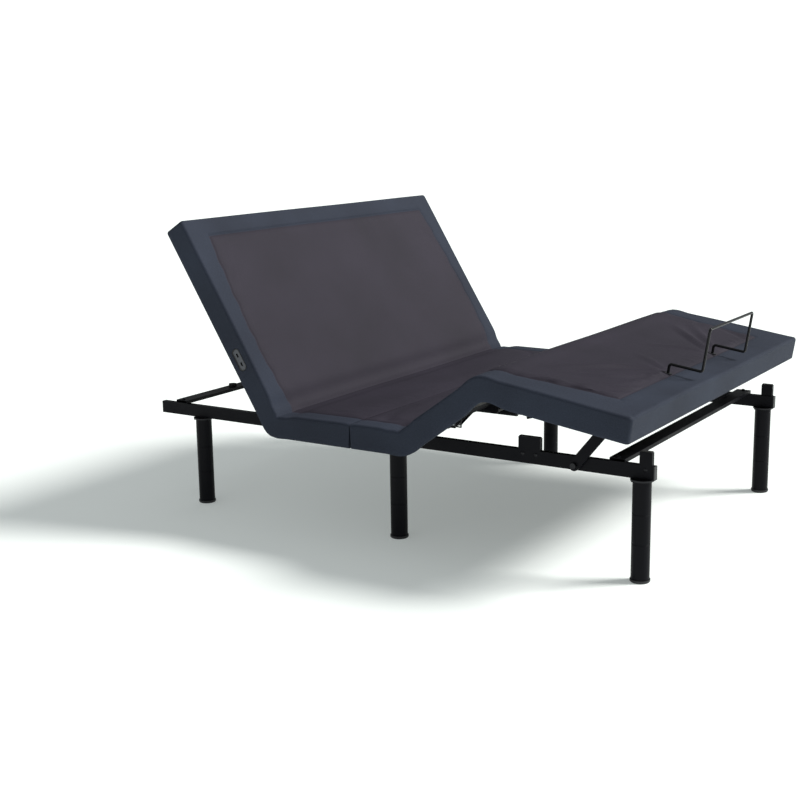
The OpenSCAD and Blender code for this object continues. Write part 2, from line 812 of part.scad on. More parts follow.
module ram_rod(x_pin, x_in, y, z) {
    lo = min(x_pin, x_in);
    union() {
        difference() {
            union() {
                translate([lo, y, z]) rotate([0, 90, 0]) cylinder(d = rod_d, h = abs(x_pin - x_in));
                y_rod(x_pin, y, z, 11, 18);
            }
        }
        y_rod(x_pin, y, z, rod_pin_d / 2, clevis_gap + 8);
        for (s = [-1, 1]) y_rod(x_pin, y + s * (clevis_gap / 2 + 4.5), z, rod_pin_d / 2 + 3, 2);
    }
}

head_motor_x = motor_tube_x - 62;
foot_motor_x = foot_clevis_x + 22;
head_stroke = 2 * head_crank * tan(head_swing / 2);
foot_stroke = 2 * foot_crank * tan(foot_swing / 2);
motor_len = 70;
head_mouth = head_rod_x + head_stroke + 24;
foot_mouth = foot_rod_x - foot_stroke - 24;

// The gear housing with its motor barrel lying across the bed, and a lug for the clevis pin
module motor(x0, y, z, way, lug_x) {
    color("#232327") difference() {
        union() {
            box(min(x0, x0 + way * motor_len), max(x0, x0 + way * motor_len), y - 24, y + 24,
                z - 20, z + 26);
            translate([x0 + way * motor_len / 2, y + 24, z + 3]) rotate([-90, 0, 0])
                cylinder(d = 42, h = 62);
            box(min(x0, lug_x), max(x0, lug_x), y - 12, y + 12, z - 9, z + 9);
            y_rod(lug_x, y, z, 12, 24);
        }
        y_rod(lug_x, y, z, rod_pin_d / 2 + run, 30);
    }
}

module clevis_pins() {
    color("#8d8f94") for (p = [[motor_tube_x - 40, head_crank_y, head_rod_z],
                               [foot_clevis_x, foot_crank_y, foot_rod_z]]) {
        y_rod(p[0], p[1], p[2], rod_pin_d / 2, clevis_gap + 14);
        for (s = [-1, 1]) y_rod(p[0], p[1] + s * (clevis_gap / 2 + 8), p[2], rod_pin_d / 2 + 3, 2);
    }
}

// ---- electrics ----

module control_box() {
    color("#1e1e22") difference() {
        box(electric_x - 60, electric_x + 60, -360, -260, hinge_z + board_up - 34, hinge_z + board_up);
        for (y = [-340, -315, -290]) {
            box(electric_x + 52, electric_x + 61, y, y + 12, hinge_z - 12, hinge_z - 4);
        }
    }
}

module power_supply() {
    color("#161619") difference() {
        box(supply_x - 35, supply_x + 35, 280, 430, hinge_z + board_up - 42, hinge_z + board_up);
        box(supply_x + 19, supply_x + 36, 300, 324, hinge_z - 24, hinge_z - 8);
    }
}

// Leads from the control box to the power supply and to each motor's barrel end
module motor_leads() {
    under_board = hinge_z + board_up - 3;
    under_tube = leg_h - 5;
    box_z = hinge_z + board_up - 20;
    box_y = -260 + gap;
    barrel_end = 24 + 62 + 0.3;
    head_barrel = [head_motor_x - motor_len / 2, head_crank_y + barrel_end, head_rod_z + 3];
    foot_barrel = [foot_motor_x + motor_len / 2, foot_crank_y + barrel_end, foot_rod_z + 3];
    over = foot_rod_z + 37;
    past = foot_motor_x + motor_len + 8;
    color("#0a0a0a") {
        lead([[supply_x, box_y, box_z], [supply_x, -246, box_z], [supply_x, -246, under_board],
              [supply_x, 266, under_board], [supply_x, 266, box_z], [supply_x, 279.5, box_z]]);
        head_x0 = electric_x + 34;
        lead([[head_x0, box_y, box_z], [head_x0, -246, box_z], [head_x0, -246, under_tube],
              [head_barrel[0], -246, under_tube], [head_barrel[0], head_barrel[1] + 14, under_tube],
              head_barrel + [0, 14, 0], head_barrel]);
        foot_x0 = electric_x + 48;
        lead([[foot_x0, box_y, box_z], [foot_x0, -230, box_z], [foot_x0, -230, under_tube],
              [past, -230, under_tube], [past, -230, over], [past, foot_barrel[1] + 14, over],
              [foot_barrel[0], foot_barrel[1] + 14, over], foot_barrel + [0, 14, 0], foot_barrel]);
    }
}

module lead(points) {
    for (i = [0:len(points) - 2]) {
        d = points[i + 1] - points[i];
        translate(points[i]) {
            rotate([0, acos(d[2] / norm(d)), atan2(d[1], d[0])]) cylinder(d = 5, h = norm(d));
            if (i > 0) sphere(d = 5);
        }
    }
}

rail(-1);  // near_rail
rail(1);  // far_rail
rail_end_caps();
cross_bar(head_bar_x);  // head_cross_bar
cross_bar(foot_bar_x);  // foot_cross_bar
motor_cross_tube();
rest_posts();
rest_pads();
frame_bolts();
leg(leg_x[0], -1);  // head_leg_near
leg(leg_x[0], 1);  // head_leg_far
leg(leg_x[1], -1);  // middle_leg_near
leg(leg_x[1], 1);  // middle_leg_far
leg(leg_x[2], -1);  // foot_leg_near
leg(leg_x[2], 1);  // foot_leg_far
leg_studs();
leg_glides();
seat_frame();
seat_board();
seat_pad_head_side();
seat_pad_foot_side();
seat_hinge_pins();
head_frame();
head_board();
head_pad();
usb_port();
thigh_frame();
thigh_board();
thigh_pad();
knee_hinge_pins();
foot_frame();
foot_board();
foot_pad();
retainer_bar();
retainer_sockets();
foot_arm(-1);  // foot_arm_near
foot_arm(1);  // foot_arm_far
arm_pivot_bolts();
arm_top_bolts();
head_lift_tube();
head_lift_bearings();
roller(head_roller_x, -head_arm_y, head_roller_z);  // head_roller_near
roller(head_roller_x, head_arm_y, head_roller_z);  // head_roller_far
union() {  // head_roller_axles
    color("#8d8f94") for (s = [-1, 1]) roller_axle(head_roller_x, s * head_arm_y, head_roller_z);
}
foot_lift_tube();
foot_lift_bearings();
roller(foot_roller_x, -foot_arm_y, foot_roller_z);  // foot_roller_near
roller(foot_roller_x, foot_arm_y, foot_roller_z);  // foot_roller_far
union() {  // foot_roller_axles
    color("#8d8f94") for (s = [-1, 1]) roller_axle(foot_roller_x, s * foot_arm_y, foot_roller_z);
}
motor(head_motor_x, head_crank_y, head_rod_z, -1, motor_tube_x - 40);  // head_motor
head_ram_tube();
head_ram_rod();
motor(foot_motor_x, foot_crank_y, foot_rod_z, 1, foot_clevis_x);  // foot_motor
foot_ram_tube();
foot_ram_rod();
clevis_pins();
control_box();
power_supply();
motor_leads();

module head_ram_tube() {
    color("#2a2a2f") ram_tube(head_mouth, head_motor_x - motor_len, head_crank_y, head_rod_z, -1);
}

module head_ram_rod() {
    color("#c8cacd") ram_rod(head_rod_x, head_mouth + 30, head_crank_y, head_rod_z);
}

module foot_ram_tube() {
    color("#2a2a2f") ram_tube(foot_mouth, foot_motor_x + motor_len, foot_crank_y, foot_rod_z, 1);
}

module foot_ram_rod() {
    color("#c8cacd") ram_rod(foot_rod_x, foot_mouth - 30, foot_crank_y, foot_rod_z);
}
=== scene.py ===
# %% [markdown]
# # An upholstered adjustable bed base
# The steel frame, the lift arms, the legs and the motors come from the imported CAD model,
# and they keep their places. This lesson gives those parts their finishes and makes the soft
# covers: padded fabric that wraps the head, seat, thigh and foot panels, folded at their hinges.

# %% Load the frame
import math
import json
import bpy
import numpy as np
from mathutils import Vector, Matrix


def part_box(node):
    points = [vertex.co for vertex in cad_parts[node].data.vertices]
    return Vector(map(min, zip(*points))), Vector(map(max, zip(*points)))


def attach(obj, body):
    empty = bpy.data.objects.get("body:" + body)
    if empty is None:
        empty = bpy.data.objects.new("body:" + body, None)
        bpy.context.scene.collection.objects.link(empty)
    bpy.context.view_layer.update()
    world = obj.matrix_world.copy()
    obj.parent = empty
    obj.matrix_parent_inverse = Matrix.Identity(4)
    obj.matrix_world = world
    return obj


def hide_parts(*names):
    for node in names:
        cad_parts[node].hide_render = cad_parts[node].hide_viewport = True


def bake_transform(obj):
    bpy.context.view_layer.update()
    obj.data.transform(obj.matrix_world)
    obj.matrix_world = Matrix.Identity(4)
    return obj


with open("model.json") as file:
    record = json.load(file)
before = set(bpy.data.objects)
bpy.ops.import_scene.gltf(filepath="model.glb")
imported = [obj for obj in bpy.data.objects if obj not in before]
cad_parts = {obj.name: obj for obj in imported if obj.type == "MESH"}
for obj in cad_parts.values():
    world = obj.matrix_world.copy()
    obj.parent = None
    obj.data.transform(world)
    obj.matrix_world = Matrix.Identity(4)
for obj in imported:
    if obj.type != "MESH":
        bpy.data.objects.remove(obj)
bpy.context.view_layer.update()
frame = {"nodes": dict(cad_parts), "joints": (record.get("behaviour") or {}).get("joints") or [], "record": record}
joints = {j["name"]: j for j in frame["joints"]}
couplings = {c["joint"]: c["ratio"] for c in frame["record"]["behaviour"]["couplings"]}

# %% [markdown]
# ## The camera
# A camera is placed first, so that every later step can be judged from the same seat. It stands
# off the foot end, a little above the deck, and looks back towards the head. A long lens keeps
# the far corner from shrinking too much.

# %% Camera
camera_at = Vector((2.3238, -4.0436, 1.3488))
camera_yaw = math.radians(122.961)
camera_pitch = math.radians(-12.044)
camera_roll = math.radians(-0.906)
forward = Vector((math.cos(camera_pitch) * math.cos(camera_yaw),
                  math.cos(camera_pitch) * math.sin(camera_yaw), math.sin(camera_pitch)))
level_right = Vector((math.sin(camera_yaw), -math.cos(camera_yaw), 0))
level_up = level_right.cross(forward)
right = level_right * math.cos(camera_roll) + level_up * math.sin(camera_roll)
up = level_up * math.cos(camera_roll) - level_right * math.sin(camera_roll)
camera_data = bpy.data.cameras.new("camera")
camera_data.lens = 59.41
camera_data.sensor_width = 36
camera = bpy.data.objects.new("camera", camera_data)
bpy.context.scene.collection.objects.link(camera)
camera.matrix_world = Matrix.Translation(camera_at) @ Matrix((right, up, -forward)).transposed().to_4x4()
bpy.context.scene.camera = camera
print("camera looks along", [round(v, 3) for v in forward])

# %% [markdown]
# ## Small helpers
# An operator acts on whatever is selected, so each step starts by clearing the selection and
# picking one object. Inside edit mode, faces and edges are picked by where they are.

# %% Selection helpers
def only(piece):
    bpy.ops.object.select_all(action="DESELECT")
    piece.select_set(True)
    bpy.context.view_layer.objects.active = piece


def editing(piece, kind="FACE"):
    only(piece)
    bpy.ops.object.mode_set(mode="EDIT")
    bpy.ops.mesh.select_mode(type=kind)
    bpy.ops.mesh.select_all(action="DESELECT")


def done_editing():
    bpy.ops.object.mode_set(mode="OBJECT")


def pick_faces(piece, test):
    """Selects the faces whose middle and normal pass the test, from inside edit mode."""
    bpy.ops.mesh.select_mode(type="FACE")
    bpy.ops.mesh.select_all(action="DESELECT")
    bpy.ops.object.mode_set(mode="OBJECT")
    for face in piece.data.polygons:
        face.select = test(face.center, face.normal)
    bpy.ops.object.mode_set(mode="EDIT")


def pick_edges(piece, test):
    """Selects the edges whose two ends pass the test, from inside edit mode."""
    bpy.ops.mesh.select_mode(type="EDGE")
    bpy.ops.mesh.select_all(action="DESELECT")
    bpy.ops.object.mode_set(mode="OBJECT")
    points = piece.data.vertices
    for edge in piece.data.edges:
        edge.select = test(points[edge.vertices[0]].co, points[edge.vertices[1]].co)
    bpy.ops.object.mode_set(mode="EDIT")


def place_in_mesh(piece):
    only(piece)
    bpy.ops.object.transform_apply(location=True, rotation=True, scale=True)


def apply_modifiers(piece):
    only(piece)
    for name in [m.name for m in piece.modifiers]:
        bpy.ops.object.modifier_apply(modifier=name)


def get_points(piece):
    points = np.empty(len(piece.data.vertices) * 3)
    piece.data.vertices.foreach_get("co", points)
    return points.reshape(-1, 3)


def set_points(piece, points):
    piece.data.vertices.foreach_set("co", np.ascontiguousarray(points, float).ravel())
    piece.data.update()


print("helpers ready")

# %% [markdown]
# ## The deck's plan
# All the covers are drawn flat first, as if the bed were lying level, and then folded up about
# the same hinges that the steel frame uses. These are the flat bed's own measures: the top face
# stands above the hinge line, and the skirt hangs below it. The retainer's sockets are
# measured from the knee.

# %% Deck measures
head_hinge = Vector(joints["head_panel_lift"]["pos_m"])
thigh_hinge = Vector(joints["thigh_panel_lift"]["pos_m"])
knee_hinge = Vector(joints["knee"]["pos_m"])
head_lift = -math.radians(joints["head_panel_lift"]["range_deg"][0])
thigh_lift = -math.radians(joints["thigh_panel_lift"]["range_deg"][0])
knee_bend = -couplings["knee"] * thigh_lift
deck_half = -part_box("foot_pad")[0].y
deck_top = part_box("seat_pad_head_side")[1].z
skirt_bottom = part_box("seat_pad_head_side")[0].z
slit_at = (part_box("seat_pad_head_side")[1].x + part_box("seat_pad_foot_side")[0].x) / 2
thigh_length = (knee_hinge - thigh_hinge).length
flat_knee = thigh_hinge.x + thigh_length


def panel_length(node, hinge, lift):
    """How far a CAD panel reaches from its hinge, measured along the panel."""
    points = get_points(frame["nodes"][node])
    along = Vector((math.cos(lift), 0, math.sin(lift)))
    return max((Vector(p) - hinge).dot(along) for p in points)


head_length = panel_length("head_pad", head_hinge, math.pi - head_lift)
foot_length = panel_length("foot_pad", knee_hinge, thigh_lift - knee_bend)
head_end = head_hinge.x - head_length
foot_end = flat_knee + foot_length
skirt_depth = deck_top - skirt_bottom
skirt_wall = 0.020
foam = 0.010
port_x = head_hinge.x - 0.238
port_z = head_hinge.z - 0.013
socket_x = 0.362
socket_y = 0.199
print("flat deck", round(head_end, 3), "to", round(foot_end, 3), "top", round(deck_top, 3))

# %% [markdown]
# ## A cover, cut flat
# The real cover is a fabric sock: a thin padded top with a padded skirt sewn round it. It could
# be a sheet with a Solidify modifier, but a grid with its border faces pulled down gives a closed
# shell with even squares, and even squares fold and wrinkle best.

# %% Flat cover
def cut_at(piece, axis, places):
    normal = Vector((1, 0, 0)) if axis == 0 else Vector((0, 1, 0))
    for place in places:
        bpy.ops.mesh.select_all(action="SELECT")
        bpy.ops.mesh.bisect(plane_co=normal * place, plane_no=normal)


def seam_cuts(place):
    """The middle of a seam's groove and its two lips."""
    return [place - 0.006, place - 0.0015, place + 0.0015, place + 0.006]


def flat_cover(name, start, stop, skirt_end, side_seam, end_seam, crease, cell):
    """A level tray from start to stop along X. skirt_end is the end that has a skirt."""
    length = stop - start
    bpy.ops.object.select_all(action="DESELECT")
    bpy.ops.mesh.primitive_grid_add(x_subdivisions=round(length / cell),
                                    y_subdivisions=round(2 * deck_half / cell), size=1,
                                    location=((start + stop) / 2, 0, deck_top - foam))
    piece = bpy.context.active_object
    piece.name = name
    piece.scale = (length, 2 * deck_half, 1)
    place_in_mesh(piece)
    editing(piece)
    wall_line = stop - skirt_wall if skirt_end > 0 else start + skirt_wall
    cut_at(piece, 0, [wall_line] + seam_cuts(end_seam) + [crease - 0.004, crease, crease + 0.004])
    cut_at(piece, 1, [deck_half - skirt_wall, skirt_wall - deck_half]
           + seam_cuts(side_seam) + seam_cuts(-side_seam))
    bpy.ops.mesh.select_all(action="SELECT")
    bpy.ops.mesh.extrude_region_move(TRANSFORM_OT_translate={"value": (0, 0, foam)})
    bpy.ops.mesh.select_all(action="SELECT")
    bpy.ops.mesh.normals_make_consistent(inside=False)

    def under_the_rim(middle, normal):
        outside = abs(middle.y) > deck_half - skirt_wall
        at_end = middle.x > wall_line if skirt_end > 0 else middle.x < wall_line
        return normal.z < -0.5 and (outside or at_end)

    for depth in [0.012, 0.022, 0.022, 0.014]:
        pick_faces(piece, under_the_rim)
        bpy.ops.mesh.extrude_region_move(TRANSFORM_OT_translate={"value": (0, 0, -depth)})
        bpy.ops.mesh.select_all(action="SELECT")
        bpy.ops.mesh.normals_make_consistent(inside=False)
    done_editing()
    print(name, "flat tray with", len(piece.data.polygons), "faces")
    return piece


# %% [markdown]
# ## Soft edges
# Foam rounds every edge of a padded panel. The rim is bevelled all the way round, then the
# upright corners, then the hem a little.

# %% Rounding
def round_edges(piece, end):
    def on_end(point):
        return abs(point.x - end) < 0.0005

    def on_side(point):
        return abs(abs(point.y) - deck_half) < 0.0005

    def outer_rim(z):
        def test(a, b):
            level = abs(a.z - z) < 0.0005 and abs(b.z - z) < 0.0005
            return level and ((on_end(a) and on_end(b)) or (on_side(a) and on_side(b)))
        return test

    def upright_corner(a, b):
        return on_end(a) and on_end(b) and on_side(a) and on_side(b)

    editing(piece, "EDGE")
    pick_edges(piece, upright_corner)
    bpy.ops.mesh.bevel(offset=0.012, segments=3)
    done_editing()

    def rim_with_corner(z):
        plain = outer_rim(z)
        near_end = 0.0125

        def on_curve(point):
            return abs(point.x - end) < near_end and abs(abs(point.y) - deck_half) < near_end

        def test(a, b):
            level = abs(a.z - z) < 0.0005 and abs(b.z - z) < 0.0005
            return plain(a, b) or (level and on_curve(a) and on_curve(b))
        return test

    editing(piece, "EDGE")
    pick_edges(piece, rim_with_corner(deck_top))
    bpy.ops.mesh.bevel(offset=0.0095, segments=4, profile=0.5)
    pick_edges(piece, rim_with_corner(skirt_bottom))
    bpy.ops.mesh.bevel(offset=0.004, segments=2)
    done_editing()
    print(piece.name, "rounded:", len(piece.data.polygons), "faces")


# %% [markdown]
# ## A map of the cloth
# The weave has to follow the cloth round its folds, so each cover gets a UV map while it is still
# flat. The top is mapped as it lies, and the skirts are rolled out beside it. One unit of the map
# is one metre of cloth.

# %% Cloth map
def map_cloth(piece, end):
    layer = piece.data.uv_layers.new(name="cloth")
    points = get_points(piece)
    toward = 1 if end > 0 else -1
    for face in piece.data.polygons:
        normal = face.normal
        for loop in face.loop_indices:
            x, y, z = points[piece.data.loops[loop].vertex_index]
            drop = deck_top - z
            if abs(normal.y) > 0.6:
                layer.data[loop].uv = (x, y + math.copysign(drop, y))
            elif abs(normal.x) > 0.6:
                layer.data[loop].uv = (x + toward * drop, y)
            else:
                layer.data[loop].uv = (x, y)
    print(piece.name, "mapped")


# %% [markdown]
# ## Folding along a hinge
# A cover that crosses a hinge is folded by turning each point about the hinge by a share of the
# lift. The share is taken at the folded place, so it is found by a few rounds of trial: fold,
# measure the share at the folded place, fold again.

# %% Fold
def smooth_share(points, start, stop):
    run = np.array(stop) - np.array(start)
    share = np.clip((points - np.array(start)) @ run / (run @ run), 0, 1)
    return share * share * (3 - 2 * share)


def turned(points, hinge, angles):
    """Points turned about a hinge line along Y, each by its own angle from +X towards +Z."""
    x = points[:, 0] - hinge.x
    z = points[:, 2] - hinge.z
    cos, sin = np.cos(angles), np.sin(angles)
    return np.column_stack([hinge.x + x * cos - z * sin, points[:, 1], hinge.z + x * sin + z * cos])


def fold(points, hinge, angle, start, stop):
    share = smooth_share(points, start, stop)
    for _ in range(80):
        folded = turned(points, hinge, share * angle)
        share = 0.6 * share + 0.4 * smooth_share(folded, start, stop)
    return turned(points, hinge, share * angle)


def fold_span(hinge, first_angle, second_angle, reach):
    """The two ends of a bend, on the line that halves the folded panels' two directions."""
    middle = (first_angle + second_angle) / 2
    along = Vector((math.cos(middle), 0, math.sin(middle)))
    return hinge - along * reach, hinge + along * reach


knee_reach = 0.075
head_fold = fold_span(head_hinge, 0, -head_lift, 0.064)
thigh_fold = fold_span(thigh_hinge, 0, thigh_lift, 0.070)
print("folds", [round(v, 3) for v in head_fold[0]], [round(v, 3) for v in thigh_fold[0]])

# %% [markdown]
# ## Making the cloth settle
# The top of each cover is a thin foam pad under a stretched fabric. A short cloth simulation,
# with the skirt and the seams pinned and a little pressure from below, gives the fabric its
# slight crown between seams. The move is capped, so that the deck stays a deck.

# %% Cloth
def settle_cloth(piece, free, pressure, slack, cap):
    """Runs a short simulation on the piece, in which only the points marked free move."""
    before = get_points(piece)
    group = piece.vertex_groups.new(name="held")
    group.add([int(i) for i in np.flatnonzero(~free)], 1.0, "REPLACE")
    cloth = piece.modifiers.new("cloth", "CLOTH")
    settings = cloth.settings
    settings.vertex_group_mass = "held"
    settings.quality = 5
    settings.mass = 0.4
    settings.tension_stiffness = 20
    settings.compression_stiffness = 20
    settings.bending_stiffness = 0.5
    settings.shrink_min = -slack
    settings.use_pressure = True
    settings.uniform_pressure_force = pressure
    settings.effector_weights.gravity = 0
    cloth.point_cache.frame_start = 1
    cloth.point_cache.frame_end = 20
    for number in range(1, 21):
        bpy.context.scene.frame_set(number)
    apply_modifiers(piece)
    bpy.context.scene.frame_set(1)
    piece.vertex_groups.remove(piece.vertex_groups["held"])
    move = get_points(piece) - before
    size = np.linalg.norm(move, axis=1, keepdims=True)
    move *= np.minimum(1, cap / np.maximum(size, 1e-9))
    move[~free] = 0
    set_points(piece, before + move)
    print(piece.name, "cloth moved", round(float(size.max()) * 1000, 1), "mm, kept under", cap * 1000)


# %% [markdown]
# ## Seams and wrinkles
# A seam pulls the foam down in a narrow groove, and the cloth puffs up a little on both sides of
# it. Wrinkles fan out from wherever the cover is held: the two sockets of the retainer bar, and
# the corners of the folds. Both are soft ridges added to the points after the cloth has settled.

# %% Seams and wrinkles
def near(value, place, width):
    return np.exp(-((value - place) / width) ** 2)


def on_top(points):
    return np.clip((points[:, 2] - deck_top + 0.012) / 0.006, 0, 1)


def lifted(points, lift):
    return points + np.column_stack([0 * lift, 0 * lift, lift])


def sewn(points, side_seam, end_seam, end_sign, crease):
    """Presses the seam's groove in, and puffs the cloth beside it. It is shallow near a crease."""
    side_gap = side_seam - abs(points[:, 1])
    end_gap = (end_seam - points[:, 0]) * end_sign
    gap = np.where((side_gap > 0) & (end_gap > 0), np.minimum(side_gap, end_gap),
                   np.maximum(-side_gap, 0) + np.maximum(-end_gap, 0))
    gap = np.where((side_gap < 0) & (end_gap < 0), np.hypot(side_gap, end_gap), gap)
    groove = -0.0034 * np.exp(-(gap / 0.0035) ** 2) * (1 - near(points[:, 0], crease, 0.07))
    puff = 0.0012 * np.exp(-((gap - 0.020) / 0.014) ** 2)
    return lifted(points, (groove + puff) * on_top(points))


def moved_seam(points, side_seam, shift):
    """Moves the side seams inwards by shift, and lets the cloth on both sides of them give."""
    away = abs(points[:, 1])
    rim = deck_half - 0.012
    give = np.where(away > side_seam, (rim - away) / (rim - side_seam), (away - 0.30) / (side_seam - 0.30))
    move = -np.sign(points[:, 1]) * np.clip(give, 0, 1) * on_top(points) * shift
    return points + np.column_stack([0 * move, move, 0 * move])


def wrinkle(points, path, width, height):
    """A soft fold of cloth along a bent path, given by its two ends and a point between them."""
    a, b, c = (np.array(p) for p in path)
    t = np.linspace(0, 1, 60)[:, None]
    line = (1 - t) ** 2 * a + 2 * t * (1 - t) * b + t ** 2 * c
    apart = np.hypot(points[:, 0, None] - line[:, 0], points[:, 1, None] - line[:, 1])
    place = apart.argmin(axis=1) / 59
    apart = apart.min(axis=1) / (width * (0.55 + 0.9 * place))
    fade = np.clip(place * 7 + 0.25, 0, 1) * np.clip((1 - place) * 2.2, 0, 1)
    crest = (1 - 1.1 * apart ** 2) * np.exp(-apart ** 2)
    return lifted(points, height * crest * fade * on_top(points))


print("seam helpers ready")

# %% [markdown]
# ## The head cover
# One cover wraps the head panel and the head half of the seat. It ends at the slit in the seat,
# where it lies against the second cover. A pocket in its near skirt leaves room for the charging
# port.

# %% Head cover
head_side_seam = 0.683
head_end_seam = head_end + 0.067
slit_gap = 0.0015
cell = 0.014
head_cover = flat_cover("head_cover", head_end, slit_at - slit_gap, -1, head_side_seam,
                        head_end_seam, head_hinge.x, cell)
round_edges(head_cover, head_end)
map_cloth(head_cover, head_end)

# %% [markdown]
# ## The thigh and foot cover
# The second cover runs from the slit over the thigh panel and the knee to the foot end. It is
# folded twice, and then it is parted in the middle of the thigh panel, where nothing bends, so
# that each half crosses only one hinge.

# %% Thigh and foot cover
foot_side_seam = 0.688
foot_end_seam = foot_end - 0.106
leg_cover = flat_cover("leg_cover", slit_at + slit_gap, foot_end, 1, foot_side_seam,
                       foot_end_seam, thigh_hinge.x, cell)
round_edges(leg_cover, foot_end)
map_cloth(leg_cover, foot_end)

# %% [markdown]
# ## The cloth settles
# Only the middle of each top is free to move, away from the seams, the slit and the skirts.

# %% Settle both covers
def free_top(piece, side_seam, low_x, high_x):
    points = get_points(piece)
    return (points[:, 2] > deck_top - 0.001) & (abs(points[:, 1]) < side_seam - 0.007) \
        & (points[:, 0] > low_x) & (points[:, 0] < high_x)


head_free = free_top(head_cover, head_side_seam, head_end_seam + 0.007, slit_at - 0.03)
settle_cloth(head_cover, head_free, pressure=1.0, slack=0.004, cap=0.004)
leg_free = free_top(leg_cover, foot_side_seam, slit_at + 0.03, foot_end_seam - 0.007)
settle_cloth(leg_cover, leg_free, pressure=1.0, slack=0.006, cap=0.005)
print("covers settled")

# %% [markdown]
# ## Holes for what pokes through
# The charging port sits in a pocket of the head cover's skirt, and the retainer's sockets come up
# through the foot cover. A Boolean cut with a simple solid is the quickest way, and it is done
# while the covers are flat, so that the cutters are level too.

# %% Holes
def cut_hole(piece, cutter):
    step = piece.modifiers.new("hole", "BOOLEAN")
    step.operation = "DIFFERENCE"
    step.solver = "EXACT"
    step.object = cutter
    apply_modifiers(piece)
    bpy.data.objects.remove(cutter)


bpy.ops.object.select_all(action="DESELECT")
bpy.ops.mesh.primitive_cube_add(size=1, location=(port_x, -deck_half, port_z))
port_cutter = bpy.context.active_object
port_cutter.scale = (0.079, 0.026, 0.033)
place_in_mesh(port_cutter)
editing(port_cutter, "EDGE")
pick_edges(port_cutter, lambda a, b: abs(a.y - b.y) > 0.01)
bpy.ops.mesh.bevel(offset=0.0135, segments=6)
done_editing()
cut_hole(head_cover, port_cutter)
for side in (-1, 1):
    bpy.ops.object.select_all(action="DESELECT")
    bpy.ops.mesh.primitive_cylinder_add(vertices=32, radius=0.0128, depth=0.05,
                                        location=(flat_knee + socket_x, side * socket_y, deck_top - 0.005))
    socket_cutter = bpy.context.active_object
    place_in_mesh(socket_cutter)
    cut_hole(leg_cover, socket_cutter)
print("holes cut")

# %% [markdown]
# ## Sewing the head cover
# On the head panel the side seams bow a little outwards and wander. At the slit the two skirts
# lean away from each other, so the gap opens downwards in a narrow V.

# %% Sew the head cover
def opened_slit(points, side):
    """Leans the skirt's end at the slit away from it. side is -1 for the head side."""
    depth = np.clip((deck_top - 0.012 - points[:, 2]) / (skirt_depth - 0.012), 0, 1)
    reach = np.clip(1 - abs(points[:, 0] - slit_at) / 0.10, 0, 1) ** 2
    outside = abs(points[:, 1]) > deck_half - skirt_wall - 0.001
    lean = side * depth * reach * outside * 0.0035
    soft = near(points[:, 0], slit_at, 0.010) * on_top(points) * -0.003
    return points + np.column_stack([lean, 0 * lean, soft])


def tucked(points, place, depth, width):
    """A narrow tuck straight across the top, where the cover creases, with fuller foam beside it."""
    fuller = 0.0022 * near(abs(points[:, 0] - place), 0.026, 0.016)
    return lifted(points, (fuller - depth * near(points[:, 0], place, width)) * on_top(points))


points = get_points(head_cover)
points = sewn(points, head_side_seam, head_end_seam, -1, head_hinge.x)
points = tucked(points, head_hinge.x, 0.0055, 0.0075)
along_head = np.clip((head_hinge.x - points[:, 0]) / 0.672, 0, 1)
bow = 0.020 - 0.030 * np.sin(math.pi * along_head ** 0.8)
ripple = 0.0022 * np.sin(points[:, 0] * 52) + 0.0016 * np.sin(points[:, 0] * 97 + 1)
on_head = np.clip((head_hinge.x - points[:, 0]) / 0.05 + 0.3, 0, 1)
points = moved_seam(points, head_side_seam, (bow + ripple) * on_head)
slow = np.sin(points[:, 0] * 9.0 + 1.0) * np.sin(points[:, 1] * 7.0 + 0.4)
points = lifted(points, 0.0010 * slow * on_top(points))
head_flat = opened_slit(points, -1)
print("head cover sewn")

# %% [markdown]
# ## Sewing the thigh and foot cover
# The border of the foot panel grows wider towards the foot end. The longest wrinkles start at the
# retainer's near socket and run in an arc towards the knee, and a fan of shorter ones starts
# at the far socket.

# %% Sew the thigh and foot cover
points = get_points(leg_cover)
points = sewn(points, foot_side_seam, foot_end_seam, 1, thigh_hinge.x)
points = tucked(points, thigh_hinge.x, 0.0030, 0.0085)
widening = np.clip((points[:, 0] - flat_knee + 0.20) / (foot_end_seam - flat_knee + 0.20), 0, 1)
ripple = 0.0020 * np.sin(points[:, 0] * 48) + 0.0014 * np.sin(points[:, 0] * 90 + 2)
points = moved_seam(points, foot_side_seam, 0.081 * widening + ripple)
foot_wrinkles = [
    ((0.345, -0.205), (0.215, -0.235), (0.075, -0.540), 0.022, 0.0060),
    ((0.365, -0.225), (0.330, -0.400), (0.130, -0.520), 0.018, 0.0042),
    ((0.362, -0.215), (0.372, -0.400), (0.265, -0.610), 0.014, 0.0028),
    ((0.345, 0.215), (0.250, 0.300), (0.100, 0.500), 0.020, 0.0050),
    ((0.350, 0.240), (0.300, 0.340), (0.120, 0.600), 0.018, 0.0036),
    ((0.340, 0.185), (0.260, 0.160), (0.170, 0.080), 0.017, 0.0034),
    ((0.360, 0.225), (0.375, 0.330), (0.350, 0.480), 0.012, 0.0022),
    ((0.345, -0.190), (0.290, -0.120), (0.180, -0.060), 0.016, 0.0024),
    ((0.372, -0.450), (0.350, -0.520), (0.280, -0.590), 0.011, 0.0024),
    ((0.300, -0.610), (0.200, -0.600), (0.080, -0.640), 0.014, 0.0020),
]
narrower, taller = 0.9, 1.9
for start, middle, stop, width, height in foot_wrinkles:
    path = [(flat_knee + x, y) for x, y in (start, middle, stop)]
    points = wrinkle(points, path, narrower * width, taller * height)
